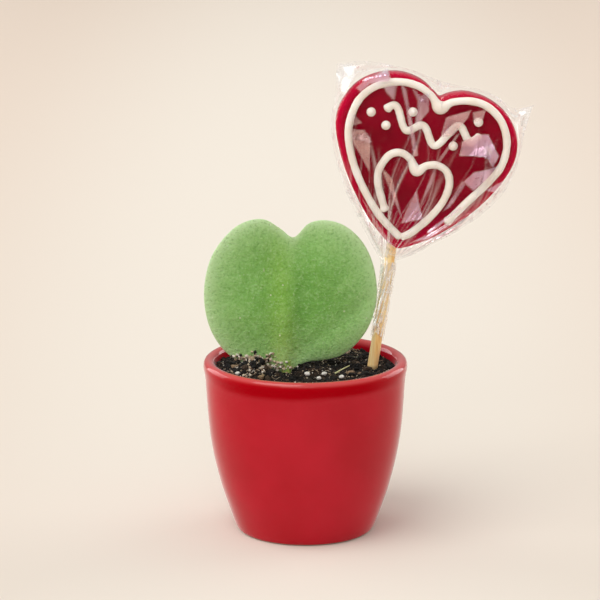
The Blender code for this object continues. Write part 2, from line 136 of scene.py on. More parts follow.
INNER_LINE = [
    (-8.8, 12.7), (-11.6, 17.4), (-14.4, 22.6), (-15.4, 28.0), (-13.2, 34.2), (-9.2, 36.5), (-4.8, 35.0),
    (-1.4, 31.2), (1.9, 34.0), (5.9, 35.2), (10.1, 33.6), (12.3, 29.0), (11.6, 22.0), (8.4, 14.8), (5.0, 9.8),
    (2.2, 6.4), (-0.8, 4.2),
]
WAVE_TURNS = 3
WAVE_STEPS = 24
WAVE_LENGTH = 38.0
WAVE_AMPLITUDE = 3.2
WAVE_HEIGHT = 51.0
WAVE_DIP = 6.0
DOTS = [(-24.0, 49.0), (-17.2, 45.4), (-8.6, 53.0), (9.8, 44.0), (16.8, 55.4), (23.2, 45.6)]
DOT_RADIUS = 1.8

# Film bag: its edges laid flat in the heart's frame, in millimetres.
BAG_LEFT = [(-6.9, -6.0), (-14.2, 2.0), (-22.8, 12.2), (-29.6, 21.8), (-34.6, 31.6), (-37.8, 41.0), (-38.8, 50.0),
            (-41.0, 62.8)]
BAG_RIGHT = [(0.5, -6.0), (6.8, -1.8), (15.6, 6.2), (25.4, 16.4), (32.6, 27.2), (36.0, 38.0), (36.2, 47.0),
             (35.6, 56.0), (36.2, 66.4)]
BAG_TOP = [(-41.0, 62.8), (-33.0, 66.2), (-24.0, 67.6), (-12.0, 67.8), (-2.0, 66.6), (5.0, 66.4), (14.0, 67.0),
           (22.0, 65.8), (29.4, 63.0), (36.2, 66.4)]
FILM_GAP = 0.03  # half the space between the layers where they are sealed
FILM_SHEETS = [(-1, 8.1, 5), (1, 5.6, 12)]  # side, fullness and seed
SEAL_WIDTH = 1.3
FILM_ACROSS = 180
FILM_UP = 180
PLEATS = 50
NECK_STEPS = 60
NECK_START = 7.0
NECK_END = 38.0
NECK_RADIUS = 2.5
NECK_MERGE = 0.16
# Patches of the front sheet painted as highlights, as if flat facets caught the light: how brightly, then their
# corners.
PAINTED_GLEAMS = [
    (0.9, [(-32, 57), (-29.5, 61.5), (-22, 66.5), (-20, 63), (-27.5, 60), (-30, 56)]),
    (0.6, [(-22, 60), (-17.5, 62), (-17, 56), (-20, 58)]),
    (0.7, [(-16, 63), (-13.5, 61), (-2.5, 37.5), (-4, 37), (-11, 53)]),
    (0.6, [(-11.5, 62.5), (-7.5, 60), (-4.5, 62), (-3, 55), (-6.5, 48), (-8, 58)]),
    (0.8, [(-30, 41), (-25, 42), (-22, 39.5), (-19, 27), (-25.5, 34), (-28.5, 37)]),
    (0.6, [(-30.5, 47), (-26.5, 44.5), (-30, 42.5)]),
    (0.85, [(-15, 29.5), (-10, 26.5), (-2, 12), (-10, 22.5)]),
    (0.8, [(0.5, 24), (5.5, 14), (-2, 10.5), (-1.5, 15.5)]),
    (0.85, [(4, 54.5), (12.5, 59.5), (12, 56), (8.5, 48.5), (4, 46.5)]),
    (0.75, [(13.5, 59), (18, 61), (18, 57), (15, 55)]),
    (0.95, [(12.5, 47), (17.5, 51), (21.5, 52), (27.5, 45), (26.5, 40), (23, 43.5), (13, 41.5)]),
    (0.9, [(17, 32), (20, 36.5), (28, 41), (26, 36.5), (21.5, 29.5)]),
    (0.7, [(16.5, 32), (18, 31), (14.5, 21), (12.5, 19)]),
    (0.9, [(26, 31), (32, 36.5), (29.5, 31)]),
    (0.6, [(11, 50.5), (9.5, 48.5), (5, 37), (6, 36.5)]),
    (0.5, [(5, 36.5), (5.5, 28.5), (3.2, 16), (4, 27)]),
    (0.5, [(-34, 36), (-24, 16), (-14, 6), (-25, 20)]),
    (0.6, [(34, 40), (36, 46), (35.5, 54), (34.5, 46)]),
    (0.8, [(3, 3.2), (9, 8.4), (19.5, 18.6), (9.8, 7.4)]),
    (0.75, [(6, 4), (14, 9.8), (23, 18.4), (14.8, 9.0)]),
    (0.8, [(8.5, 9.6), (18.1, 22.4), (19.4, 22.6), (9.6, 9.2)]),
    (0.7, [(-19, 16), (-8, 5.4), (-2, 0.4), (-9, 4.4)]),
    (0.8, [(-40.4, 62.4), (-35.5, 64.6), (-33.4, 61), (-36, 54), (-38.4, 53.5)]),
    (0.8, [(31.4, 63.4), (35.8, 65.8), (35.4, 59), (33.6, 56.5)]),
]
TAPE_TOP = 8.5
TAPE_LENGTH = 12.0

# Loose bits, in millimetres: perlite's x, y and half-size, bark's half-size and its turn in degrees,
# and the straw's x, y and rise.
PERLITE = [(0.7, -17.0, 1.0), (7.3, -14.5, 0.9), (5.2, -20.0, 0.8), (14.0, -17.0, 0.9), (-26.2, -15.0, 0.8)]
BARK = [(2.4, 20), (2.0, 75), (1.8, 40), (2.2, 15)]
STRAW = [(11.5, -12.2, 0.2), (14.0, -10.9, 1.4), (17.2, -9.9, 2.8)]


# Materials


class Value:
    """A node's output. Arithmetic on it adds Math nodes."""

    def __init__(self, nodes, socket):
        self.nodes = nodes
        self.socket = socket

    def maths(self, operation, *values):
        return self.nodes.node("ShaderNodeMath", {"operation": operation}, dict(enumerate(values)))

    def __add__(self, other):
        return self.maths("ADD", self, other)

    def __sub__(self, other):
        return self.maths("SUBTRACT", self, other)

    def __rsub__(self, other):
        return self.maths("SUBTRACT", other, self)

    def __mul__(self, other):
        return self.maths("MULTIPLY", self, other)

    def __pow__(self, other):
        return self.maths("POWER", self, other)

    __radd__ = __add__
    __rmul__ = __mul__


class Nodes:
    """A node tree. node() makes any node from its type, its settings and its inputs."""

    def __init__(self, tree):
        self.tree = tree

    def node(self, kind, settings=None, inputs=None, output=0):
        made = self.tree.nodes.new(kind)
        for name, value in (settings or {}).items():
            if name == "stops":
                self.set_stops(made.color_ramp, value)
            else:
                setattr(made, name, value)
        self.feed(made, inputs or {})
        return Value(self, made.outputs[output])

    def set_stops(self, ramp, stops):
        ramp.elements.remove(ramp.elements[-1])
        ramp.elements[0].position = stops[0][0]
        ramp.elements[0].color = (*stops[0][1], 1.0)
        for position, color in stops[1:]:
            ramp.elements.new(position).color = (*color, 1.0)

    def feed(self, node, inputs):
        for name, value in inputs.items():
            socket = node.inputs[name]
            if isinstance(value, Value):
                self.tree.links.new(value.socket, socket)
            elif socket.type == "RGBA":
                socket.default_value = (*value, 1.0)
            else:
                socket.default_value = value

    def span(self, value, low, high, start=0.0, end=1.0):
        """start where the value is low, end where it is high, and smooth between them."""
        ends = {"Value": value, "From Min": low, "From Max": high, "To Min": start, "To Max": end}
        return self.node("ShaderNodeMapRange", {"interpolation_type": "SMOOTHSTEP"}, ends)

    def swing(self, value, start=0.0, end=1.0):
        """start to end over the range in which most of a noise lies."""
        return self.span(value, 0.3, 0.7, start, end)

    def blend(self, factor, first, second, how="MIX"):
        """A colour between two, or one laid over the other in that way."""
        settings = {"data_type": "RGBA", "blend_type": how}
        return self.node("ShaderNodeMix", settings, {0: factor, 6: first, 7: second}, 2)

    def layered(self, colour, *layers):
        """The colour with others over it in turn, each given as its share and itself."""
        for share, other in layers:
            colour = self.blend(share, colour, other)
        return colour

    def ramp(self, value, stops):
        return self.node("ShaderNodeValToRGB", {"stops": stops}, {"Fac": value})

    def axis(self, vector, index):
        return self.node("ShaderNodeSeparateXYZ", None, {"Vector": vector}, index)


class Finish(Nodes):
    """A material round one Principled shader."""

    def __init__(self, name):
        self.material = bpy.data.materials.new(name)
        self.material.use_nodes = True
        super().__init__(self.material.node_tree)
        self.shader = self.tree.nodes["Principled BSDF"]

    def paint(self, inputs):
        self.feed(self.shader, inputs)

    def where(self, stretch=(1, 1, 1), turn=(0, 0, 0), move=(0, 0, 0)):
        spot = self.node("ShaderNodeTexCoord", output="Object")
        inputs = {"Vector": spot, "Location": move, "Rotation": turn, "Scale": stretch}
        return self.node("ShaderNodeMapping", None, inputs)

    def grain(self, scale, detail=2.0, roughness=0.5, distortion=0.0, vector=None):
        inputs = {"Vector": vector or self.where(), "Scale": scale, "Detail": detail, "Roughness": roughness,
                  "Distortion": distortion}
        return self.node("ShaderNodeTexNoise", None, inputs)

    def cells(self, scale, vector=None):
        inputs = {"Vector": vector or self.where(), "Scale": scale}
        return self.node("ShaderNodeTexVoronoi", None, inputs, "Distance")

    def specks(self, cells, outer, inner, patches, low, high):
        """Spots in the middles of cells, and only in patches."""
        return self.span(cells, outer, inner) * self.span(self.grain(patches, 1.0), low, high)

    def turned(self):
        """How far the surface turns from the eye."""
        return self.node("ShaderNodeLayerWeight", None, {"Blend": 0.5}, "Facing")

    def glint(self):
        """How much a clear surface reflects."""
        return 0.04 + self.turned() ** 4 * 0.96

    def follow(self, name):
        """The piece's own number of that name, which varies over its surface."""
        return self.node("ShaderNodeAttribute", {"attribute_name": name}, None, "Fac")

    def relief(self, height, distance):
        return self.node("ShaderNodeBump", None, {"Height": height, "Distance": distance})

    def see_through(self, solid):
        """Mixes clear with the Principled shader, which shows by the share solid."""
        clear = self.node("ShaderNodeBsdfTransparent")
        both = self.node("ShaderNodeMixShader", None, {0: solid, 1: clear, 2: Value(self, self.shader.outputs[0])})
        self.feed(self.tree.nodes["Material Output"], {"Surface": both})


def glaze_finish():
    glaze = Finish("red_glaze")
    spot = glaze.where()
    height = glaze.axis(spot, 2)
    clouds = glaze.grain(40.0, 3.0)
    edge = height + glaze.swing(glaze.grain(30.0), -0.0006, 0.0006)
    in_front = glaze.span(glaze.axis(spot, 1), -0.010, -0.036)
    # A dark, less glossy band under the lip at the front: painted shade where the lip turns under.
    painted_shade_under_lip = glaze.span(edge, *SHADE_BAND_START) * glaze.span(height, *SHADE_BAND_END) * in_front
    bare = glaze.span(height, *BARE_FOOT, 1.0, 0.0)
    gloss = glaze.span(height, *LIP_SHINE, 0.5, 0.9) + glaze.turned() ** 3 * 0.6
    glaze.paint({
        "Base Color": glaze.layered(
            (0.45, 0.002, 0.012),
            (glaze.swing(clouds), (0.51, 0.004, 0.018)),
            (painted_shade_under_lip * 0.9, (0.38, 0.0, 0.004)),
            # Paler top of the lip: a painted highlight.
            (glaze.span(height, *LIP_PAINTED_HIGHLIGHT, 0.0, 0.45), (0.66, 0.12, 0.11)),
            (bare, (0.55, 0.42, 0.33)),
        ),
        "Roughness": glaze.swing(clouds, 0.55, 0.7),
        "Specular IOR Level": 0.0,
        "Sheen Weight": 0.45,
        "Sheen Roughness": 0.25,
        "Sheen Tint": (1.0, 0.86, 0.84),
        "Coat Weight": gloss * (1.0 - painted_shade_under_lip * 0.92) * (1.0 - bare),
        "Coat Roughness": 0.07,
        "Normal": glaze.relief(glaze.grain(55.0, 1.0) + glaze.grain(900.0, 1.0) * 0.03, 0.0006),
    })
    return glaze.material


def soil_finish():
    soil = Finish("potting_soil")
    tone = soil.grain(260.0, 5.0, 0.7)
    stops = [(0.3, (0.004, 0.003, 0.002)), (0.55, (0.022, 0.013, 0.008)), (0.75, (0.07, 0.04, 0.022))]
    soil.paint({
        "Base Color": soil.ramp(tone, stops),
        "Roughness": soil.swing(tone, 0.75, 1.0),
        "Specular IOR Level": 0.3,
        "Normal": soil.relief(soil.grain(900.0, 4.0, 0.7) + soil.cells(600.0) * 0.6, 0.0008),
    })
    return soil.material


def crumb_finish():
    crumb = Finish("soil_crumbs")
    tone = crumb.follow("tone")
    stops = [
        (0.0, (0.003, 0.002, 0.002)), (0.34, (0.014, 0.009, 0.007)), (0.6, (0.09, 0.052, 0.03)),
        (0.8, (0.40, 0.27, 0.17)), (0.9, (0.82, 0.66, 0.46)), (1.0, (1.0, 0.95, 0.86)),
    ]
    fine = crumb.grain(1800.0, 4.0, 0.7)
    pits = crumb.ramp(fine, [(0.3, (0.25,) * 3), (0.75, (1.0,) * 3)])
    crumb.paint({
        "Base Color": crumb.blend(0.7, crumb.ramp(tone, stops), pits, "MULTIPLY"),
        "Roughness": crumb.swing(fine, 0.6, 0.95),
        "Specular IOR Level": 0.35,
        "Normal": crumb.relief(fine, 0.0003),
    })
    return crumb.material


def leaf_finish():
    leaf = Finish("leaf_green")
    rim = leaf.follow("rim")
    mottle = leaf.grain(420.0, 5.0, 0.65, 0.4)
    speckle = leaf.grain(1000.0, 3.0, 0.7)
    scratches = leaf.cells(210.0, leaf.where((1.0, 1.0, 0.24), (0.0, 0.5, 0.0)))
    leaf.paint({
        "Base Color": leaf.layered(
            (0.115, 0.33, 0.038),
            (leaf.span(leaf.grain(75.0, 4.0, 0.6), 0.32, 0.68), (0.21, 0.48, 0.10)),
            (leaf.span(mottle, 0.35, 0.68, 0.0, 0.8), (0.15, 0.38, 0.045)),
            (leaf.span(leaf.grain(190.0, 3.0, 0.6), 0.46, 0.66, 0.0, 0.45), (0.27, 0.52, 0.14)),
            # Darker green just right of the midrib: painted shade beside the keel.
            (leaf.follow("valley") * 0.6, (0.065, 0.23, 0.02)),
            (leaf.follow("rib") * 0.5, (0.27, 0.49, 0.035)),
            (leaf.follow("foot") * leaf.span(mottle, 0.3, 0.75, 0.2, 0.85), (0.42, 0.37, 0.06)),
            # Paler edge: a painted highlight, stronger at the top and left where the light falls.
            (rim**0.22 * 0.85, (0.36, 0.59, 0.23)),
            (rim * 0.75, (0.62, 0.80, 0.48)),
            (leaf.span(speckle, 0.50, 0.70, 0.0, 0.42), (0.42, 0.64, 0.30)),
            (leaf.span(speckle, 0.48, 0.32, 0.0, 0.4), (0.07, 0.22, 0.02)),
            (leaf.specks(leaf.cells(330.0), 0.15, 0.06, 120.0, 0.50, 0.62) * 0.75, (0.72, 0.76, 0.56)),
            (leaf.specks(scratches, 0.065, 0.02, 70.0, 0.48, 0.6) * 0.6, (0.66, 0.70, 0.50)),
        ),
        "Roughness": leaf.swing(mottle, 0.42, 0.6),
        "Specular IOR Level": 0.4,
        "Subsurface Weight": 0.12,
        "Subsurface Radius": (0.35, 0.7, 0.12),
        "Subsurface Scale": 0.002,
        "Sheen Weight": 0.5,
        "Sheen Roughness": 0.4,
        "Sheen Tint": (0.88, 1.0, 0.80),
        "Normal": leaf.relief(mottle + speckle * 0.8, 0.0006),
    })
    return leaf.material


def wood_finish():
    wood = Finish("stick_wood")
    lean = wood.where((1.0, 1.0, 0.035), (0.0, -STICK_LEAN, 0.0))
    streaks = wood.grain(1500.0, 4.0, 0.6, vector=lean)
    broad = wood.grain(380.0, 2.0, vector=lean)
    colour = wood.ramp(streaks, [(0.28, (0.74, 0.38, 0.10)), (0.5, (1.0, 0.66, 0.25)), (0.72, (1.0, 0.86, 0.48))])
    colour = wood.blend(wood.span(broad, 0.35, 0.7, 0.0, 0.5), colour, (1.0, 0.86, 0.52))
    height = wood.axis(wood.where(), 2)
    colour = wood.blend(wood.span(height, 0.0668, 0.0650, 0.0, 0.6), colour, (0.12, 0.07, 0.035))
    wood.paint({
        "Base Color": colour,
        "Roughness": wood.span(streaks, 0.3, 0.7, 0.62, 0.48),
        "Specular IOR Level": 0.35,
        "Normal": wood.relief(streaks, 0.00018),
    })
    return wood.material


def sugar_finish():
    sugar = Finish("red_sugar")
    depth = sugar.grain(60.0, 3.0)
    bubbles = sugar.specks(sugar.cells(520.0), 0.10, 0.04, 140.0, 0.5, 0.62)
    sugar.paint({
        "Base Color": sugar.layered(
            (0.20, 0.0, 0.008),
            (sugar.swing(depth), (0.30, 0.001, 0.016)),
            (sugar.span(sugar.axis(sugar.where(), 2), 0.136, 0.116, 0.0, 0.6), (0.46, 0.003, 0.045)),
            # Lighter red along the candy's edge: painted light.
            (sugar.follow("rim") * 0.8, (0.62, 0.003, 0.045)),
            (bubbles * 0.5, (0.6, 0.06, 0.09)),
        ),
        "Specular IOR Level": 0.07,
        "Roughness": sugar.swing(depth, 0.06, 0.14),
        "Subsurface Weight": 0.12,
        "Subsurface Radius": (1.0, 0.08, 0.08),
        "Subsurface Scale": 0.003,
        "Normal": sugar.relief(sugar.grain(110.0, 2.0), 0.0005),
    })
    return sugar.material


def icing_finish():
    icing = Finish("cream_icing")
    fine = icing.grain(900.0, 3.0)
    soft = icing.grain(130.0, 2.0)
    colour = icing.blend(icing.span(soft, 0.3, 0.7), (0.90, 0.81, 0.71), (0.97, 0.92, 0.85))
    icing.paint({
        "Base Color": colour,
        "Roughness": icing.span(fine, 0.3, 0.7, 0.34, 0.52),
        "Subsurface Weight": 0.15,
        "Subsurface Radius": (0.9, 0.6, 0.4),
        "Subsurface Scale": 0.001,
        "Normal": icing.relief(fine * 0.3 + soft, 0.00025),
    })
    return icing.material


def film_finish():
    film = Finish("clear_film")
    loose = film.follow("loose")
    gleam = film.follow("gleam")
    fold = film.follow("fold")
    crinkle = film.grain(330.0, 4.0, 0.65, 0.6)
    clouds = film.span(film.grain(85.0, 3.0), 0.3, 0.7, 0.7, 1.1)
    streak = film.span(film.grain(210.0, 5.0, 0.7, 1.5), 0.52, 0.66)
    # Pink and lilac tints of the painted highlights.
    tints = [(0.38, (1.0, 0.60, 0.54)), (0.48, (1.0, 0.58, 0.74)), (0.60, (0.96, 0.74, 0.96))]
    tint = film.ramp(film.grain(28.0, 1.0), tints)
    film.paint({
        "Base Color": film.blend(gleam * (1.0 - loose), (0.98, 0.98, 0.98), tint),
        "Metallic": 1.0 - loose * 0.75,
        "Roughness": film.span(crinkle, 0.3, 0.7, 0.03, 0.12) + gleam * 0.25,
        "Normal": film.relief(crinkle, 0.00022),
    })
    # The film shows more where painted highlights lie.
    shine = film.glint() * 0.42 + gleam * clouds * 0.7 + fold * 0.58 - 0.014
    film.see_through(shine + loose * (streak * 0.68 + 0.13))
    return film.material


def tape_finish():
    tape = Finish("clear_tape")
    crinkle = tape.grain(420.0, 3.0, 0.6, 0.8)
    tape.paint({
        "Base Color": (0.98, 0.97, 0.95),
        "Metallic": 0.35,
        "Roughness": tape.span(crinkle, 0.3, 0.7, 0.04, 0.16),
        "Normal": tape.relief(crinkle, 0.0004),
    })
    tape.see_through(tape.span(crinkle, 0.50, 0.62, 0.02, 0.42) + tape.glint() * 0.35)
    return tape.material


def bit_finish(name, dark, light, scale, depth):
    bit = Finish(name)
    fine = bit.grain(scale, 5.0, 0.7)
    pits = bit.cells(scale * 1.2)
    bit.paint({
        "Base Color": bit.blend(bit.span(fine, 0.3, 0.7), dark, light),
        "Roughness": bit.span(pits, 0.0, 0.6, 0.95, 0.7),
        "Normal": bit.relief(fine + pits * 0.6, depth),
    })
    return bit.material


def floor_finish():
    floor = Finish("pale_floor")
    # Lighter in the middle and darker and warmer away from it: a painted pool of light.
    spot = floor.where((1 / 0.16, 1 / 1.6, 1.0), (0, 0, 0), (0.0, -0.16, 0.0))
    away = floor.node("ShaderNodeVectorMath", {"operation": "LENGTH"}, {0: spot}, "Value")
    colour = floor.blend(floor.span(away, 0.3, 1.6), (0.745, 0.69, 0.62), (0.68, 0.58, 0.50))
    floor.paint({"Base Color": colour, "Roughness": 0.9, "Specular IOR Level": 0.1})
    return floor.material


# Modelling


def only(piece):
    bpy.ops.object.select_all(action="DESELECT")
    piece.select_set(True)
    bpy.context.view_layer.objects.active = piece


def start(kind, **settings):
    """A primitive to shape further."""
    bpy.ops.object.select_all(action="DESELECT")
    getattr(bpy.ops.mesh, f"primitive_{kind}_add")(**settings)
    return bpy.context.object


@contextmanager
def editing(piece, action="SELECT"):
    only(piece)
    bpy.ops.object.mode_set(mode="EDIT")
    bpy.ops.mesh.select_all(action=action)
    yield
    bpy.ops.object.mode_set(mode="OBJECT")


def pick_ends(piece):
    """In edit mode, adds the faces that look straight up or down to what is selected."""
    bpy.ops.mesh.select_mode(type="FACE")
    shape = bmesh.from_edit_mesh(piece.data)
    for face in shape.faces:
        if abs(face.normal.z) > 0.9:
            face.select_set(True)
    bmesh.update_edit_mesh(piece.data)


def worked(piece, kind, **settings):
    """Applies one modifier."""
    only(piece)
    modifier = piece.modifiers.new(kind.lower(), kind)
    for name, value in settings.items():
        setattr(modifier, name, value)
    bpy.ops.object.modifier_apply(modifier=modifier.name)


def subdivided(piece, levels):
    worked(piece, "SUBSURF", levels=levels, render_levels=levels)


def flush(piece, matrix=None):
    """Puts the piece's place into its mesh, after an optional move."""
    only(piece)
    bpy.ops.object.transform_apply(location=True, rotation=True, scale=True)
    if matrix:
        piece.data.transform(matrix)


def hand_over(piece, name, finish, nodes=(), smooth=50):
    """Names, smooths and paints a finished piece and hangs it on the object's body."""
    flush(piece)
    bpy.ops.object.shade_smooth_by_angle(angle=math.radians(smooth))
    piece.name = piece.data.name = name
    piece.data.materials.clear()
    piece.data.materials.append(finish)
    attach(piece, "root")
    if nodes:
        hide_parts(*nodes)
    return piece


def points_of(piece):
    flat = np.empty(len(piece.data.vertices) * 3)
    piece.data.vertices.foreach_get("co", flat)
    return flat.reshape(-1, 3)


def put_points(piece, points):
    piece.data.vertices.foreach_set("co", np.asarray(points, np.float32).ravel())
    piece.data.update()


def give(piece, name, values):
    """Stores a number for each point of the piece, for its material to follow."""
    layer = piece.data.attributes.new(name, "FLOAT", "POINT")
    layer.data.foreach_set("value", np.asarray(values, np.float32))


def bump(away, reach):
    """1 where away is 0, falling to about a third at the reach."""
    return math.exp(-((away / reach) ** 2))


def curve_through(points, per_span, closed=False):
    """Points along a Catmull-Rom curve through the given ones."""
    points = [Vector(p) for p in points]
    count = len(points)
    made = []
    for i in range(count if closed else count - 1):
        if closed:
            a, b, c, d = (points[(i + k) % count] for k in (-1, 0, 1, 2))
        else:
            a, b, c, d = (points[min(max(i + k, 0), count - 1)] for k in (-1, 0, 1, 2))
        for k in range(per_span):
            t = k / per_span
            bend = (2 * a - 5 * b + 4 * c - d) * t**2 + (3 * b - a - 3 * c + d) * t**3
            made.append(0.5 * (2 * b + (c - a) * t + bend))
    if not closed:
        made.append(points[-1])
    return made


def tube(route, radii, resolution=5):
    """A round line along the route, with its own radius at each point, closed at both ends."""
    curve = bpy.data.curves.new("line", "CURVE")
    curve.dimensions = "3D"
    curve.bevel_depth = 1.0
    curve.bevel_resolution = resolution
    curve.use_fill_caps = True
    spline = curve.splines.new("POLY")
    spline.points.add(len(route) - 1)
    for target, p, radius in zip(spline.points, route, radii):
        target.co = (*p, 1.0)
        target.radius = radius
    line = bpy.data.objects.new("line", curve)
    bpy.context.scene.collection.objects.link(line)
    only(line)
    bpy.ops.object.convert(target="MESH")
    line = bpy.context.object
    with editing(line):
        bpy.ops.mesh.remove_doubles(threshold=1e-6)
    return line


def heart_frame():
    return Matrix.Translation(HEART_TIP) @ Matrix.Rotation(HEART_LEAN, 4, "Y") @ Matrix.Scale(MM, 4)


def stick_frame():
    """Origin where the stick meets the candy, +Z up the stick, in millimetres."""
    entry = heart_frame() @ STICK_ENTRY
    return Matrix.Translation(entry) @ Matrix.Rotation(STICK_LEAN, 4, "Y") @ Matrix.Scale(MM, 4)


# Pot


def make_pot(finish):
    radius, height = POT_PROFILE[0]
    pot = start("circle", vertices=POT_SIDES, radius=radius * MM, fill_type="NGON", location=(0, 0, height * MM))
    with editing(pot):
        for next_radius, next_height in POT_PROFILE[1:]:
            lift = (0, 0, (next_height - height) * MM)
            bpy.ops.mesh.extrude_region_move(TRANSFORM_OT_translate={"value": lift})
            share = next_radius / radius
            bpy.ops.transform.resize(value=(share, share, 1), center_override=(0, 0, next_height * MM))
            radius, height = next_radius, next_height
        bpy.ops.mesh.select_all(action="SELECT")
        bpy.ops.mesh.normals_make_consistent(inside=False)
    subdivided(pot, 2)
    placed = points_of(pot)
    for spot in placed:
        out = max(math.hypot(spot[0], spot[1]), 1e-6)
        spot[:2] *= 1 + POT_WAVINESS * noise.noise(Vector(spot) * 70) / out
    put_points(pot, placed)
    hand_over(pot, "glazed_pot", finish, ["pot"])


# Soil


def soil_height(x, y):
    """The soil's height in metres at a place in metres."""
    spot = Vector((x, y, 0))
    height = 0.8 * noise.noise(spot * 240) + 0.35 * noise.noise(spot * 620 + UP) + 0.16 * noise.noise(spot * 1500)
    for heap_x, heap_y, rise, spread in [*HEAPS, HOLE]:
        height += rise * bump(math.hypot(x / MM - heap_x, y / MM - heap_y), spread)
    return SOIL_LEVEL + height * MM


def make_soil(finish):
    soil = start("circle", vertices=SOIL_SIDES, radius=SOIL_RADIUS, fill_type="NGON", location=(0, 0, SOIL_LEVEL))
    step = SOIL_RADIUS / (SOIL_RINGS + 1)
    with editing(soil):
        for _ in range(SOIL_RINGS):
            bpy.ops.mesh.inset(thickness=step, depth=0)
        bpy.ops.mesh.poke()
        bpy.ops.mesh.select_all(action="SELECT")
        bpy.ops.mesh.normals_make_consistent(inside=False)
    flush(soil)
    placed = points_of(soil)
    for spot in placed:
        fade = min(1.0, (SOIL_RADIUS - math.hypot(spot[0], spot[1])) / (2.0 * MM))
        spot[2] += fade * (soil_height(spot[0], spot[1]) - SOIL_LEVEL)
    put_points(soil, placed)
    worked(soil, "SOLIDIFY", thickness=3.0 * MM, offset=-1.0)
    hand_over(soil, "potting_mix", finish, ["soil"], 80)


def lump_shape(seed, detail):
    """A small rough lump about one unit in radius, as points and triangles."""
    lump = start("ico_sphere", subdivisions=detail, radius=1.0)
    with editing(lump):
        bpy.ops.transform.vertex_random(offset=0.3, uniform=0.8, seed=seed)
    shape = points_of(lump), np.array([p.vertices[:] for p in lump.data.polygons])
    bpy.data.objects.remove(lump)
    return shape


def scattered(name, shapes, spots, finish):
    """One piece of many lumps; each spot is a place, a size along three axes, a turn and a tone."""
    points, faces, tones = [], [], []
    count = 0
    for k, (place, size, turn, tone) in enumerate(spots):
        shape, triangles = shapes[k % len(shapes)]
        moved = (shape * size) @ np.array(turn.to_matrix()).T + place
        points.append(moved)
        faces.append(triangles + count)
        tones.append(np.full(len(shape), tone))
        count += len(shape)
    mesh = bpy.data.meshes.new(name)
    mesh.from_pydata(np.concatenate(points), [], np.concatenate(faces))
    piece = bpy.data.objects.new(name, mesh)
    bpy.context.scene.collection.objects.link(piece)
    give(piece, "tone", np.concatenate(tones))
    hand_over(piece, name, finish, smooth=12)


def random_turn(dice):
    return Vector((dice.gauss(0, 1), dice.gauss(0, 1), dice.gauss(0, 1) + 1e-6)).to_track_quat("Z", "Y")


def heap_share(x, y):
    """How much a place, in millimetres, lies on the heap at the leaf's left."""
    heap_x, heap_y, _, spread = HEAPS[0]
    return bump(math.hypot(x - heap_x, y - heap_y), spread)


def crumb_tone(dice, x, y, half):
    """Mostly near black, with small tan bits, more of them on the heap, and black in the hole as painted shade."""
    # Crumbs in the hole under the heap are black: painted shade.
    if math.hypot(x - HOLE[0], y - HOLE[1]) < HOLE[3]:
        return 0.0
    tone = dice.betavariate(1.1, 3.2)
    on_heap = heap_share(x, y)
    if half < 0.5 + on_heap and dice.random() < 0.26 + 0.6 * on_heap:
        tone = dice.uniform(0.78, 1.0)
    return tone


def random_spot(dice):
    """A place on the soil in millimetres, more often on the heap."""
    if dice.random() < 0.15:
        return dice.gauss(HEAPS[0][0], 4.4), dice.gauss(HEAPS[0][1], 3.4)
    out = 34.6 * math.sqrt(dice.random())
    turn = dice.uniform(0, math.tau)
    return out * math.cos(turn), out * math.sin(turn)


def make_crumbs(finish):
    dice = random.Random(4)
    fine = [lump_shape(seed, 1) for seed in range(6)]
    coarse = [lump_shape(seed, 2) for seed in range(10, 15)]
    for name, shapes, count, low, high in (
        ("soil_crumbs", fine, CRUMBS, 0.16, 0.75), ("soil_lumps", coarse, LUMPS, 0.6, 1.6)
    ):
        spots = []
        for _ in range(count):
            x, y = random_spot(dice)
            half = low + (high - low) * dice.random() ** 2.2
            if any(math.hypot(x - grain_x, y - grain_y) < across + half for grain_x, grain_y, across in PERLITE):
                continue
            size = half * np.array([dice.uniform(*ends) for ends in ((0.7, 1.3), (0.6, 1.0), (0.4, 0.8))])
            z = soil_height(x * MM, y * MM) / MM + half * dice.uniform(-0.15, 0.5)
            spots.append((np.array((x, y, z)) * MM, size * MM, random_turn(dice), crumb_tone(dice, x, y, half)))
        scattered(name, shapes, spots, finish)


def make_stuck_crumbs(leaf, finish):
    """Crumbs that cling to the leaf's front just above the soil."""
    dice = random.Random(9)
    front = surface_of(leaf)
    shapes = [lump_shape(seed, 1) for seed in range(20, 24)]
    spots = []
    while len(spots) < STUCK_CRUMBS:
        near_heap = dice.random() < 0.8
        x = dice.gauss(-20.5, 4.4) if near_heap else dice.uniform(-14, 22)
        z = 69.4 + dice.gauss(0, 1.4) if near_heap else 66.2 + abs(dice.gauss(0, 0.9))
        found = front.ray_cast(Vector((x * MM, -0.06, z * MM)), Vector((0, 1, 0)))[0]
        if found is None or math.hypot((x - HOLE[0]) / 3.6, (z - 67.4) / 2.2) < 1:
            continue
        half = dice.uniform(0.3, 0.9)
        size = np.array([half, half * dice.uniform(0.5, 0.9), half * dice.uniform(0.5, 0.9)]) * MM
        tone = dice.choice((0.3, 0.7, 0.84, 0.9, 0.95, 0.98))
        spots.append((np.array(found) - (0, 0.2 * MM, 0), size, random_turn(dice), tone))
    scattered("stuck_crumbs", shapes, spots, finish)


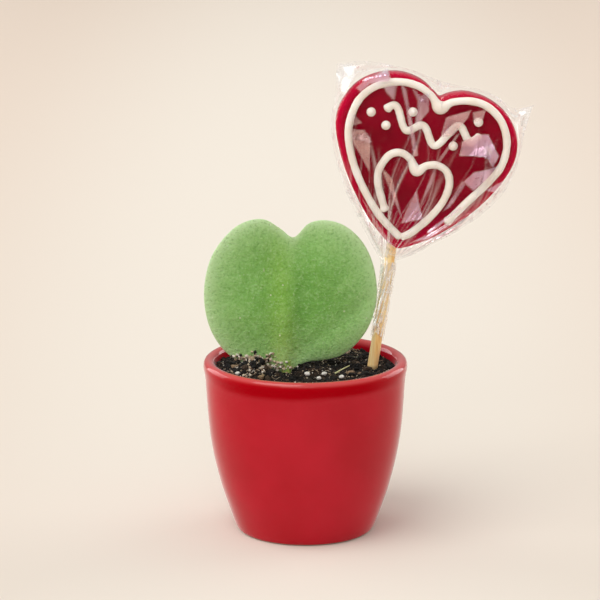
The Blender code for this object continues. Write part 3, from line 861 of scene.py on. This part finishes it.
def make_fibres(finish):
    """Thin dry roots in the mix."""
    dice = random.Random(31)
    lines = []
    for _ in range(FIBRES):
        x, y = random_spot(dice)
        turn = dice.uniform(0, math.tau)
        route = []
        for k in range(5):
            turn += dice.gauss(0, 0.5)
            x += 0.9 * math.cos(turn)
            y += 0.9 * math.sin(turn)
            if math.hypot(x, y) > 34.0:
                break
            route.append((x * MM, y * MM, soil_height(x * MM, y * MM) + dice.uniform(0.1, 1.1) * MM))
        if len(route) > 2:
            smooth = curve_through(route, 3)
            lines.append(tube(smooth, [dice.uniform(0.07, 0.14) * MM] * len(smooth), 1))
    bpy.ops.object.select_all(action="DESELECT")
    for line in lines:
        line.select_set(True)
    bpy.context.view_layer.objects.active = lines[0]
    bpy.ops.object.join()
    fibres = bpy.context.object
    give(fibres, "tone", np.full(len(fibres.data.vertices), 0.86))
    hand_over(fibres, "root_fibres", finish)


def surface_of(piece):
    return BVHTree.FromPolygons([v.co for v in piece.data.vertices], [p.vertices for p in piece.data.polygons])


def make_perlite(finish):
    for k, (_, _, half) in enumerate(PERLITE):
        grain = start("ico_sphere", subdivisions=4, radius=1.0)
        placed = points_of(grain)
        for spot in placed:
            at = Vector(spot)
            broad = 0.16 * noise.noise(at * 1.3 + UP * k)
            spot *= 1 + broad + 0.07 * noise.noise(at * 4.0) + 0.03 * noise.noise(at * 9.0)
        size = np.array((1.15, 1.0, 0.85)) * half * MM
        low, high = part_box(f"perlite_{k + 1}")
        put_points(grain, placed * size + np.array((low + high) / 2))
        hand_over(grain, f"perlite_grain_{k + 1}", finish, [f"perlite_{k + 1}"])


def make_bark(finish):
    for k, (half, turn) in enumerate(BARK):
        chip = start("cube", size=2.0)
        with editing(chip):
            bpy.ops.mesh.bevel(offset=0.3, segments=2, affect="EDGES")
            bpy.ops.mesh.subdivide(number_cuts=5)
        placed = points_of(chip)
        for spot in placed:
            at = Vector(spot)
            spot *= 1 + 0.22 * noise.noise(at * 1.7 + UP * k) + 0.10 * noise.noise(at * 5.0 + UP * k)
        put_points(chip, placed)
        low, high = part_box(f"bark_chip_{k + 1}")
        sized = Matrix.Diagonal((0.9 * half * MM, 0.5 * half * MM, 0.45 * MM, 1))
        flush(chip, Matrix.Translation((low + high) / 2) @ Matrix.Rotation(math.radians(turn), 4, "Z") @ sized)
        hand_over(chip, f"bark_bit_{k + 1}", finish, [f"bark_chip_{k + 1}"])


def make_straw(finish):
    low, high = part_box("straw")
    route = curve_through([(x * MM, y * MM, low.z + (0.35 + rise) * MM) for x, y, rise in STRAW], 12)
    radii = [(0.36 - 0.2 * k / len(route)) * MM for k in range(len(route))]
    hand_over(tube(route, radii), "dry_straw", finish, ["straw"])


# Leaf


def leaf_point(edge, share, side):
    """A point on the blade: share is 0 in the middle and 1 at the edge, side is 1 in front and -1 behind."""
    across, up = LEAF_MIDDLE + (edge - LEAF_MIDDLE) * share
    through = side * max(0.0, 1 - share**3.2) ** 0.375
    cup = LEAF_CUP * (across / LEAF_HALF_WIDTH) ** 2 * (0.4 + 0.6 * up / LEAF_HEIGHT)
    front = max(0.0, through)
    crease = LEAF_CREASE * bump(across, 7.0 + 0.08 * up) * (0.45 + 0.8 * up / LEAF_HEIGHT)
    keel = 1.5 * bump(across + 0.6, 3.2) * bump(up, 36.0) + 1.1 * bump(across, 4.2) * bump(up, 8.0)
    fold = 0.6 * bump(up - 4.0 - 0.75 * across, 4.0) * min(1.0, max(0.0, across / 4.0))
    swell = 0.8 * noise.noise(Vector((across * 0.06, up * 0.06, side * 2.0))) * (1 - share**4)
    depth = (crease - keel + fold) * front - cup - swell - through * LEAF_HALF_THICKNESS
    return across, depth, up


def make_leaf(finish):
    outline = curve_through(LEAF_OUTLINE, 7, closed=True)
    blade = start("uv_sphere", segments=len(outline), ring_count=56, radius=1.0)
    placed, marks = [], []
    for spot in points_of(blade):
        share = min(1.0, math.hypot(spot[0], spot[1]))
        place_round = round(math.atan2(spot[1], spot[0]) / math.tau * len(outline))
        across, depth, up = leaf_point(outline[place_round % len(outline)], share, 1 if spot[2] >= 0 else -1)
        placed.append((across * MM, depth * MM, up * MM))
        # Painted shade along the right of the midrib, where the keel shades the blade.
        valley = bump(across - 4.6, 3.0) * bump(up - 26.0, 17.0)
        # How strong the painted highlight along the edge is: more at the top and left, where the light falls.
        painted_highlight_strength = 0.35 + 0.7 * up / LEAF_HEIGHT - 0.25 * across / LEAF_HALF_WIDTH
        rim = share**12 * min(1.0, max(0.2, painted_highlight_strength))
        rib = bump(across + 2.2, 5.4) * (1 - 0.55 * up / LEAF_HEIGHT)
        foot = bump(across + 0.5, 5.0) * bump(up, 11.0)
        marks.append((valley, rim, rib, foot))
    put_points(blade, placed)
    for name, values in zip(("valley", "rim", "rib", "foot"), zip(*marks)):
        give(blade, name, values)
    with editing(blade):
        bpy.ops.mesh.remove_doubles(threshold=1e-6)
        bpy.ops.mesh.normals_make_consistent(inside=False)
    subdivided(blade, 1)
    flush(blade, Matrix.Translation(LEAF_FOOT) @ Matrix.Rotation(-LEAF_LEAN, 4, "X"))
    return hand_over(blade, "leaf_blade", finish, ["hoya_leaf"], 80)


def make_stalk(finish):
    """The leaf's stalk, down in the mix."""
    low, high = STALK_ENDS
    middle = LEAF_FOOT + UP * (low + high) / 2
    foot, top = STALK_RADII
    stalk = start("cone", vertices=24, radius1=foot, radius2=top, depth=high - low, location=middle)
    with editing(stalk, "DESELECT"):
        pick_ends(stalk)
        bpy.ops.mesh.bevel(offset=0.5 * MM, segments=3, affect="EDGES", clamp_overlap=True)
    give(stalk, "foot", np.ones(len(stalk.data.vertices)))
    hand_over(stalk, "leaf_stalk", finish)


# Lollipop


def make_stick(finish):
    stick = start("cylinder", vertices=40, radius=STICK_RADIUS, depth=STICK_LENGTH)
    with editing(stick, "DESELECT"):
        pick_ends(stick)
        bpy.ops.mesh.bevel(offset=0.35, segments=3, affect="EDGES", clamp_overlap=True)
    placed = points_of(stick)
    for spot in placed:
        round_share = 1 + 0.03 * noise.noise(Vector((spot[0] * 0.4, spot[1] * 0.4, spot[2] * 0.03)))
        spot[:2] *= round_share
    put_points(stick, placed)
    flush(stick, stick_frame() @ Matrix.Translation((0, 0, STICK_IN_CANDY - STICK_LENGTH / 2)))
    hand_over(stick, "wooden_stick", finish, ["lollipop_stick"], 30)


def heart_outline(per_span):
    right = curve_through([HEART_POINT, *HEART_RIGHT, HEART_NOTCH], per_span)
    left = curve_through([HEART_NOTCH, *HEART_LEFT, HEART_POINT], per_span)
    return right[:-1] + left[:-1]


def make_candy(finish):
    curve = bpy.data.curves.new("candy", "CURVE")
    curve.dimensions = "2D"
    curve.fill_mode = "BOTH"
    curve.extrude = CANDY_THICKNESS / 2 - CANDY_ROUNDING
    curve.bevel_depth = CANDY_ROUNDING
    curve.bevel_resolution = 5
    curve.offset = -CANDY_ROUNDING
    outline = heart_outline(8)
    spline = curve.splines.new("POLY")
    spline.points.add(len(outline) - 1)
    spline.use_cyclic_u = True
    for target, p in zip(spline.points, outline):
        target.co = (p.x, p.y, 0, 1.0)
    candy = bpy.data.objects.new("candy", curve)
    bpy.context.scene.collection.objects.link(candy)
    only(candy)
    bpy.ops.object.convert(target="MESH")
    candy = bpy.context.object
    candy.rotation_euler.x = math.pi / 2
    flush(candy)
    with editing(candy):
        bpy.ops.mesh.remove_doubles(threshold=1e-4)
    worked(candy, "REMESH", mode="VOXEL", voxel_size=0.75)
    worked(candy, "SMOOTH", factor=0.5, iterations=6)
    placed = points_of(candy)
    for spot in placed:
        at = Vector(spot)
        spot[1] += math.copysign(0.22, spot[1]) * noise.noise(at * 0.09)
    put_points(candy, placed)
    # A number that is high near the candy's edge, for the painted light there.
    to_edge = nearest(placed[:, [0, 2]], np.array([p[:] for p in outline]), True)
    give(candy, "rim", np.exp(-((to_edge / 3.2) ** 2)))
    flush(candy, heart_frame())
    hand_over(candy, "sugar_heart", finish, ["candy_heart"], 80)


def bead_radii(route, radius, blobs):
    """Radii along a piped line: rounded ends, a little uneven, and fatter at its blobs."""
    lengths = [0.0]
    for a, b in zip(route, route[1:]):
        lengths.append(lengths[-1] + (b - a).length)
    radii = []
    for spot, along in zip(route, lengths):
        uneven = 1 + 0.09 * noise.noise(spot * 0.22) + 0.06 * noise.noise(spot * 0.7)
        for x, z, fatter, reach in blobs:
            uneven += fatter * bump(math.hypot(spot.x - x, spot.z - z), reach)
        near = min(along, lengths[-1] - along, radius) / radius
        radii.append(radius * uneven * math.sqrt(max(0.02, 1 - (1 - near) ** 2)))
    return radii


def make_line(name, line, node, finish, blobs):
    """A line of icing on the candy's front, wider than it is high."""
    route = [Vector((p.x, 0, p.y)) for p in curve_through(line, 16)]
    piped = tube(route, bead_radii(route, ICING_WIDTH / 2, blobs), 6)
    sit = Matrix.Translation((0, -(CANDY_THICKNESS + ICING_HEIGHT) / 2 + 0.15, 0))
    flush(piped, heart_frame() @ sit @ Matrix.Diagonal((1, ICING_HEIGHT / ICING_WIDTH, 1, 1)))
    hand_over(piped, name, finish, [node], 80)


def wave_line():
    line = []
    for k in range(WAVE_STEPS + 1):
        share = k / WAVE_STEPS
        x = (share - 0.5) * WAVE_LENGTH
        dip = WAVE_DIP * math.exp(-((4 * share - 2) ** 2))
        line.append((x, WAVE_HEIGHT - dip + WAVE_AMPLITUDE * math.sin(math.tau * WAVE_TURNS * share)))
    return line


def make_dots(finish):
    """Drops of icing, each with a small pulled peak."""
    for k, (x, z) in enumerate(DOTS):
        dot = start("uv_sphere", segments=32, ring_count=20, radius=DOT_RADIUS)
        placed = points_of(dot)
        for spot in placed:
            peak = max(0.0, spot[2] / DOT_RADIUS) ** 8
            spot[2] *= ICING_HEIGHT / DOT_RADIUS / 2
            spot[2] += 0.45 * peak
            spot[:2] *= 1 + 0.05 * noise.noise(Vector((spot[0], spot[1], k)) * 0.7)
            spot[0] += 0.25 * peak
        put_points(dot, placed)
        sit = Matrix.Translation((x, -(CANDY_THICKNESS + ICING_HEIGHT) / 2 + 0.15, z))
        flush(dot, heart_frame() @ sit @ Matrix.Rotation(math.pi / 2, 4, "X"))
        hand_over(dot, f"icing_drop_{k + 1}", finish, [f"icing_dot_{k + 1}"], 80)


# Film bag


def facets(seed, across, up, height):
    """Flat facets at random heights over a unit square, as a surface to look heights up on."""
    dice = random.Random(seed)
    flat = []
    for i in range(across + 1):
        for j in range(up + 1):
            inner_i, inner_j = 0 < i < across, 0 < j < up
            u = i / across + (dice.uniform(-0.42, 0.42) / across if inner_i else 0)
            v = j / up + (dice.uniform(-0.45, 0.45) / up if inner_j else 0)
            flat.append(Vector((u, v)))
    flat += [Vector((-0.2, -0.2)), Vector((1.2, -0.2)), Vector((1.2, 1.2)), Vector((-0.2, 1.2))]
    points, _, faces, _, _, _ = delaunay_2d_cdt(flat, [], [], 0, 1e-6)
    return BVHTree.FromPolygons([Vector((p.x, p.y, height * dice.uniform(-1, 1))) for p in points], faces)


def looked_up(surface, u, v):
    found = surface.ray_cast(Vector((u, v, 10.0)), Vector((0, 0, -1)))[0]
    return found.z if found else 0.0


def along_line(line, share):
    """The point at that share of a smooth line's points."""
    place = share * (len(line) - 1)
    k = min(int(place), len(line) - 2)
    return line[k].lerp(line[k + 1], place - k)


def nearest(points, line, closed):
    """Each point's distance to a polyline."""
    ends = np.roll(line, -1, axis=0) if closed else line[1:]
    starts = line if closed else line[:-1]
    best = np.full(len(points), 1e9)
    for a, b in zip(starts, ends):
        run = b - a
        share = np.clip(((points - a) @ run) / max(run @ run, 1e-12), 0, 1)
        best = np.minimum(best, np.linalg.norm(points - a - share[:, None] * run, axis=1))
    return best


def within(points, outline):
    """Whether each point lies inside a closed outline."""
    inside = np.zeros(len(points), bool)
    for a, b in zip(outline, np.roll(outline, -1, axis=0)):
        crosses = (a[1] > points[:, 1]) != (b[1] > points[:, 1])
        rise = b[1] - a[1]
        at = a[0] + (points[:, 1] - a[1]) * (b[0] - a[0]) / (rise if abs(rise) > 1e-9 else 1e-9)
        inside ^= crosses & (points[:, 0] < at)
    return inside


def bag_place(u, v, left, right, top):
    """Where a point of the flat bag lies: u goes across and v up, between its four edges."""
    a, b = along_line(left, v), along_line(right, v)
    foot = left[0].lerp(right[0], u)
    bilinear = left[0].lerp(right[0], u).lerp(left[-1].lerp(right[-1], u), v)
    return a.lerp(b, u) + foot.lerp(along_line(top, u), v) - bilinear


def pleats(seed, count):
    """Narrow folds that rise from the gathered neck: place across, width, reach and height."""
    dice = random.Random(seed)
    return [(dice.uniform(0.06, 0.94), dice.uniform(0.005, 0.017), dice.uniform(0.25, 0.95), dice.uniform(0.35, 0.9))
            for _ in range(count)]


def pleat_height(folds, u, v):
    height = 0.0
    for place, width, reach, rise in folds:
        if v < reach:
            away = abs(u - place - 0.03 * math.sin(v * 9 + place * 20)) / width
            height += rise * max(0.0, 1 - away) * (1 - v / reach) ** 0.5
    return height


def film_sheet(side, depth, seed, marks):
    """One of the bag's two sheets: rows of points, each with its loose, painted highlight and fold numbers."""
    surface = facets(seed, 9, 6, 1.0)
    fine = facets(seed + 1, 22, 12, 0.35)
    folds = pleats(seed + 2, PLEATS)
    sheet = []
    for (u, v), (x, z), full, free, painted_highlight_strength in marks:
        pleat = pleat_height(folds, u, v)
        bend = looked_up(surface, u, v) + looked_up(fine, u, v) + 0.8 * pleat
        rise = FILM_GAP + depth * full + bend * min(1.0, 2.2 * full) * min(1.0, 0.25 + v * 3)
        waft = 1.3 * free * noise.noise(Vector((x, z, 3)) * 0.16)
        gleam = painted_highlight_strength if side < 0 else 0.0
        sheet.append((x, side * rise + waft, z, free, gleam, min(1.0, 1.2 * pleat**1.5)))
    return np.array(sheet).reshape(FILM_UP + 1, FILM_ACROSS + 1, 6)


def film_neck(base):
    """Rows of points round the stick, gathered and crumpled, which run up into the bag's lowest row."""
    to_heart = heart_frame().inverted() @ stick_frame()
    crushed = facets(33, 9, 13, 1.0)
    neck = []
    for k in range(NECK_STEPS):
        down = 1 - k / NECK_STEPS
        held = bump(down - 0.3, 0.2)
        tight = 1 - 0.5 * down
        merge = max(0.0, 1 - down / NECK_MERGE) ** 2
        for i, meets in enumerate(base[:, :3]):
            turn = math.tau * i / len(base)
            out = Vector((math.cos(turn), math.sin(turn), 0))
            twist = turn + 1.6 * down
            wave = 0.55 * math.sin(9 * twist + 2.0 * math.sin(3 * down)) + 0.4 * math.sin(14 * twist - 5 * down)
            crumple = 0.9 * looked_up(crushed, 0.5 + 0.45 * math.sin(turn + 0.7), down)
            bulge = 0.45 * wave * (1 - 0.6 * held) + crumple * (0.7 - 0.5 * held)
            radius = max(STICK_RADIUS + 0.18, NECK_RADIUS + bulge * tight + 0.3 * (1 - down))
            ragged = 3.0 * noise.noise(out * 1.3 + 7 * UP) * max(0.0, down - 0.8) / 0.2
            along = -NECK_START - (NECK_END - NECK_START) * down - ragged
            place = (to_heart @ (along * UP - radius * out)).lerp(Vector(meets), merge)
            fold = min(1.0, max(0.0, 0.9 * wave + 1.2 * crumple + 0.35)) * (1 - 0.6 * merge)
            neck.append((*place, 0.6, 0.0, fold))
    return np.array(neck).reshape(NECK_STEPS, len(base), 6)


def make_film(finish):
    """The bag: two sheets of film over the candy, sealed at the sides and top, and gathered on the stick."""
    left, right, top = (curve_through(line, 8) for line in (BAG_LEFT, BAG_RIGHT, BAG_TOP))
    candy = np.array([p[:] for p in heart_outline(4)])
    grid = [(i / FILM_ACROSS, j / FILM_UP) for j in range(FILM_UP + 1) for i in range(FILM_ACROSS + 1)]
    flat = np.array([bag_place(u, v, left, right, top)[:] for u, v in grid])
    border = np.array([p[:] for p in left + top[1:] + right[::-1]])
    to_edge = nearest(flat, border, False)
    to_candy = np.where(within(flat, candy), 0.0, nearest(flat, candy, True))
    margin = to_edge + to_candy
    seal = np.minimum(SEAL_WIDTH, 0.3 * margin)
    share = np.clip((to_edge - seal) / np.maximum(margin - seal, 1e-9), 0, 1)
    fullness = share * share * (3 - 2 * share)
    loose = np.clip(to_candy / 2.0, 0, 1)
    gleam = np.zeros(len(flat))
    # Painted highlights on the front sheet.
    for painted_highlight_strength, corners in PAINTED_GLEAMS:
        corners = np.array(corners, float)
        inward = nearest(flat, corners, True) * np.where(within(flat, corners), 1, -1)
        gleam = np.maximum(gleam, painted_highlight_strength * np.clip(0.5 + inward / 0.4, 0, 1))
    marks = list(zip(grid, flat, fullness, loose, gleam))
    front, back = (film_sheet(side, depth, seed, marks) for side, depth, seed in FILM_SHEETS)
    for edge in (np.s_[:, [0, -1], :3], np.s_[-1, :, :3]):
        middle = (front[edge] + back[edge]) / 2
        front[edge] = middle
        back[edge] = middle
    rings = np.concatenate([front, back[:, -2:0:-1]], axis=1)
    rings = np.concatenate([film_neck(rings[0]), rings])
    film = start("grid", x_subdivisions=rings.shape[1], y_subdivisions=len(rings) - 1, size=2)
    placed = np.concatenate([rings, rings[:, :1]], axis=1).reshape(-1, 6)
    put_points(film, placed[:, :3])
    for name, values in zip(("loose", "gleam", "fold"), placed[:, 3:].T):
        give(film, name, values)
    with editing(film):
        bpy.ops.mesh.remove_doubles(threshold=1e-3)
        bpy.ops.mesh.normals_make_consistent(inside=False)
    if sum(face.center.dot(face.normal) * face.area for face in film.data.polygons) < 0:
        with editing(film):
            bpy.ops.mesh.flip_normals()
    flush(film, heart_frame())
    hand_over(film, "clear_bag", finish, ["film_bag"], 35)


def make_tape(finish):
    """A few turns of clear tape, pulled tight and crumpled round the gathered film."""
    tape = start("cylinder", vertices=24, radius=1.0, depth=1.0, end_fill_type="NOTHING")
    with editing(tape):
        bpy.ops.mesh.bisect(plane_co=(0, 0, 0), plane_no=(0, 0, 1))
        bpy.ops.mesh.select_all(action="SELECT")
        bpy.ops.mesh.subdivide(number_cuts=15)
    surface = facets(40, 14, 7, 0.35)
    placed = points_of(tape)
    for spot in placed:
        turn = math.atan2(spot[1], spot[0]) / math.tau + 0.5
        share = spot[2] + 0.5
        pull = 0.3 * math.cos(math.tau * (turn * 2 + share))
        radius = NECK_RADIUS + 0.5 + 0.7 * looked_up(surface, turn, share)
        radius += 0.2 * pull - 0.2 * math.sin(math.pi * share)
        spot[:2] *= radius / math.hypot(spot[0], spot[1])
        spot[2] = -TAPE_TOP - TAPE_LENGTH * (1 - share) + 0.9 * math.sin(math.tau * turn) + 0.5 * pull
    put_points(tape, placed)
    flush(tape, stick_frame())
    worked(tape, "SOLIDIFY", thickness=0.12 * MM, offset=1.0)
    hand_over(tape, "clear_tape_wrap", finish, ["tape"], 30)


# Stage


def make_floor(finish):
    floor = start("plane", size=FLOOR_SIZE)
    floor.name = "floor"
    floor.data.materials.append(finish)


def softbox(name, place, aim, size, brightness):
    """A rectangular light of that brightness to look at, aimed at a point."""
    light = bpy.data.lights.new(name, "AREA")
    light.shape = "RECTANGLE"
    light.size, light.size_y = size
    light.energy = brightness * math.pi * size[0] * size[1]
    lamp = bpy.data.objects.new(name, light)
    lamp.location = place
    lamp.rotation_euler = (Vector(place) - Vector(aim)).to_track_quat("Z", "Y").to_euler()
    bpy.context.scene.collection.objects.link(lamp)


def make_light():
    world = bpy.data.worlds.new("studio")
    world.use_nodes = True
    bpy.context.scene.world = world
    room = Nodes(world.node_tree)
    height = room.axis(room.node("ShaderNodeTexCoord", output="Generated"), 2)
    colour = room.blend(room.span(height, 0.0, 0.8), (0.27, 0.26, 0.245), (0.64, 0.625, 0.60))
    room.feed(world.node_tree.nodes["Background"], {"Color": colour, "Strength": 1.0})
    key = bpy.data.lights.new("key", "SUN")
    key.energy = 1.5
    key.angle = math.radians(44.0)
    key.color = (1.0, 0.985, 0.95)
    lamp = bpy.data.objects.new("key", key)
    lamp.rotation_euler = Vector((-0.40, -0.36, 0.88)).to_track_quat("Z", "Y").to_euler()
    bpy.context.scene.collection.objects.link(lamp)
    middle = (0.0, 0.0, 0.09)
    softbox("front", (-0.4, -2.2, 1.3), middle, (1.6, 1.2), 2.0)
    softbox("left_panel", (-1.5, 0.9, 0.45), middle, (1.3, 1.3), 2.4)
    softbox("right_panel", (1.5, 0.9, 0.45), middle, (1.3, 1.3), 2.5)


def make_camera():
    camera = bpy.data.cameras.new("camera")
    camera.lens = CAMERA_LENS
    camera.clip_start = 0.05
    viewer = bpy.data.objects.new("camera", camera)
    toward = Vector((0, math.cos(CAMERA_HEIGHT), -math.sin(CAMERA_HEIGHT)))
    viewer.location = LOOK_AT - toward * CAMERA_DISTANCE
    viewer.rotation_euler = toward.to_track_quat("-Z", "Y").to_euler()
    bpy.context.scene.collection.objects.link(viewer)
    bpy.context.scene.camera = viewer


def main():
    bpy.context.scene.view_settings.view_transform = "Standard"
    make_camera()
    make_light()
    make_floor(floor_finish())
    make_pot(glaze_finish())
    make_soil(soil_finish())
    crumbs = crumb_finish()
    make_crumbs(crumbs)
    make_fibres(crumbs)
    green = leaf_finish()
    make_stuck_crumbs(make_leaf(green), crumbs)
    make_stalk(green)
    make_perlite(bit_finish("perlite", (0.62, 0.58, 0.50), (0.88, 0.86, 0.82), 2200.0, 0.0003))
    make_bark(bit_finish("bark", (0.14, 0.08, 0.04), (0.48, 0.32, 0.18), 1600.0, 0.0005))
    make_straw(bit_finish("straw", (0.40, 0.40, 0.16), (0.70, 0.70, 0.40), 1400.0, 0.0001))
    make_stick(wood_finish())
    make_candy(sugar_finish())
    cream = icing_finish()
    make_line("icing_edge", OUTER_LINE, "icing_outline", cream, OUTER_BLOBS)
    make_line("icing_small_heart", INNER_LINE, "icing_inner_heart", cream, INNER_BLOBS)
    make_line("icing_flourish", wave_line(), "icing_wave", cream, WAVE_BLOBS)
    make_dots(cream)
    make_film(film_finish())
    make_tape(tape_finish())


main()
